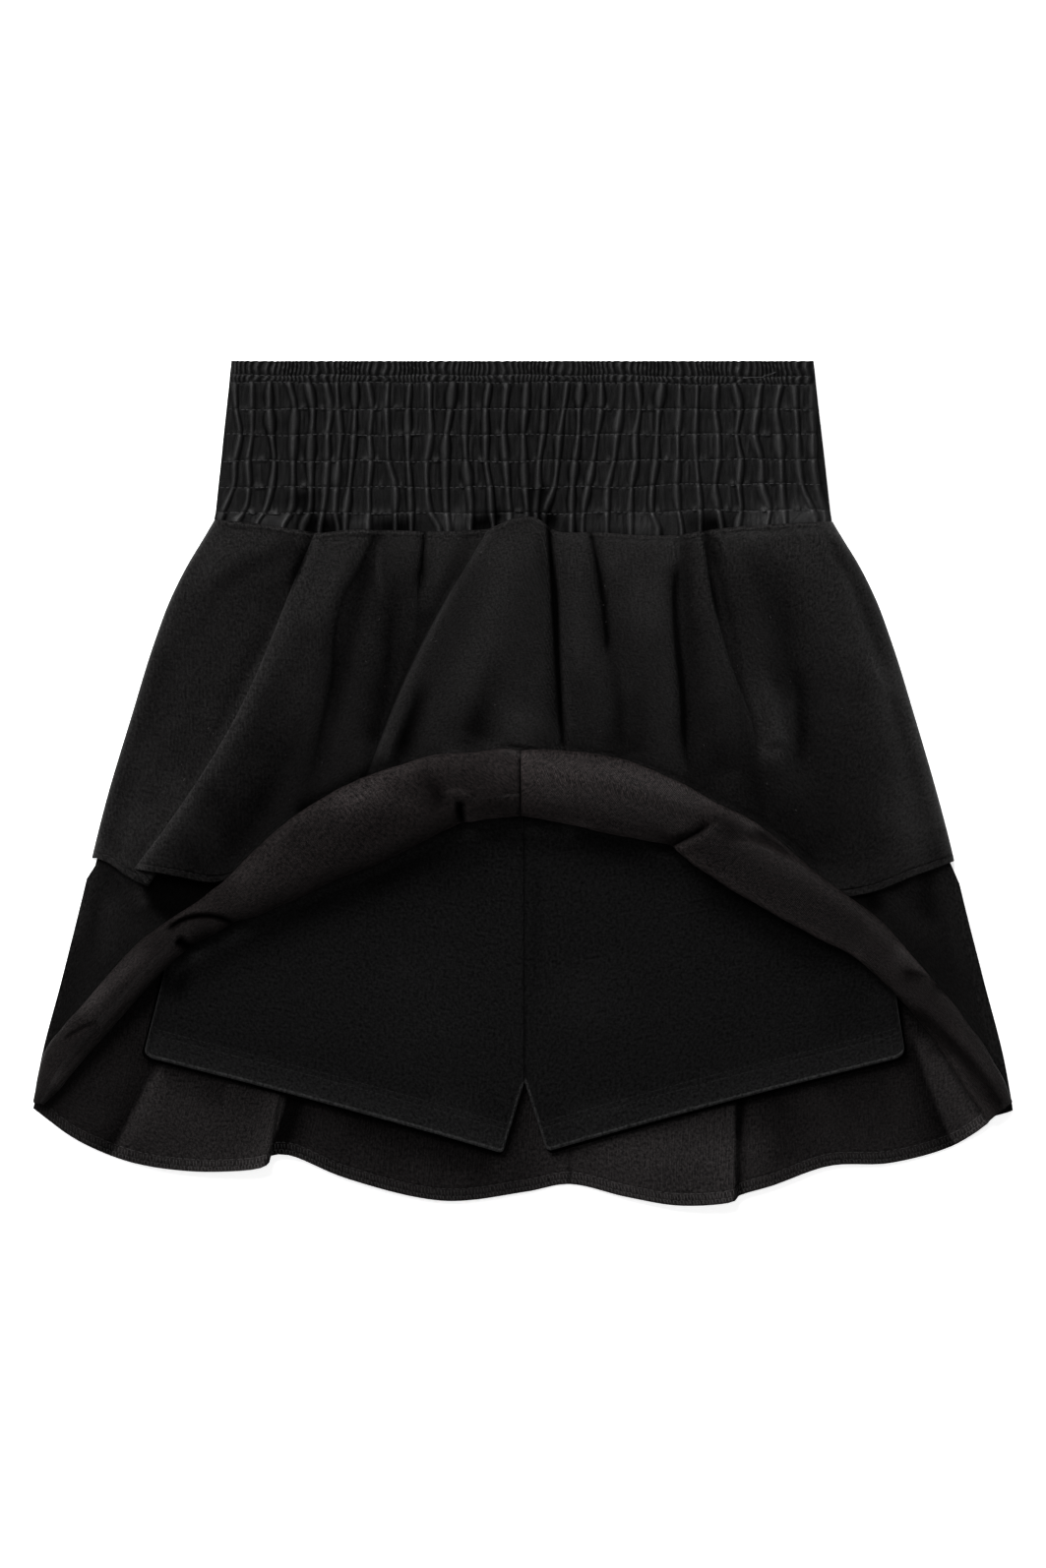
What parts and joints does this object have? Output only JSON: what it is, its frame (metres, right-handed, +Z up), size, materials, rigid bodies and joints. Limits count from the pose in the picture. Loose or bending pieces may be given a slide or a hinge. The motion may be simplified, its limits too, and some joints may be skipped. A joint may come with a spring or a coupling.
{
  "type": "two-tier skort laid flat",
  "caption": "Flared skort laid flat: shirred elastic waistband, two knit tiers, the lower one's front hem rolled up over flat inner shorts.",
  "frame": {"origin": "centre of the laid garment's box, on the surface that it lies on", "axes": "+X across the garment, to the right as seen from above with the waistband on top; +Y toward the waistband; +Z up, from the back panels to the front ones"},
  "size_m": [0.4982, 0.4297, 0.0242],
  "materials": {
    "woven": "slightly satiny black plain weave",
    "knit": "matt black stretch knit, outer side",
    "knit_inner": "matt black stretch knit, inner side",
    "jersey": "smooth matt black jersey"
  },
  "bodies": {
    "root": {"waistband_front": "woven", "waistband_back": "woven", "upper_tier_front": "knit", "upper_tier_back": "knit", "lower_tier_front_left": "knit_inner", "lower_tier_front_right": "knit_inner", "lower_tier_back": "knit_inner", "shorts_front_left": "jersey", "shorts_front_right": "jersey", "shorts_back_left": "jersey", "shorts_back_right": "jersey"}
  },
  "joints": []
}
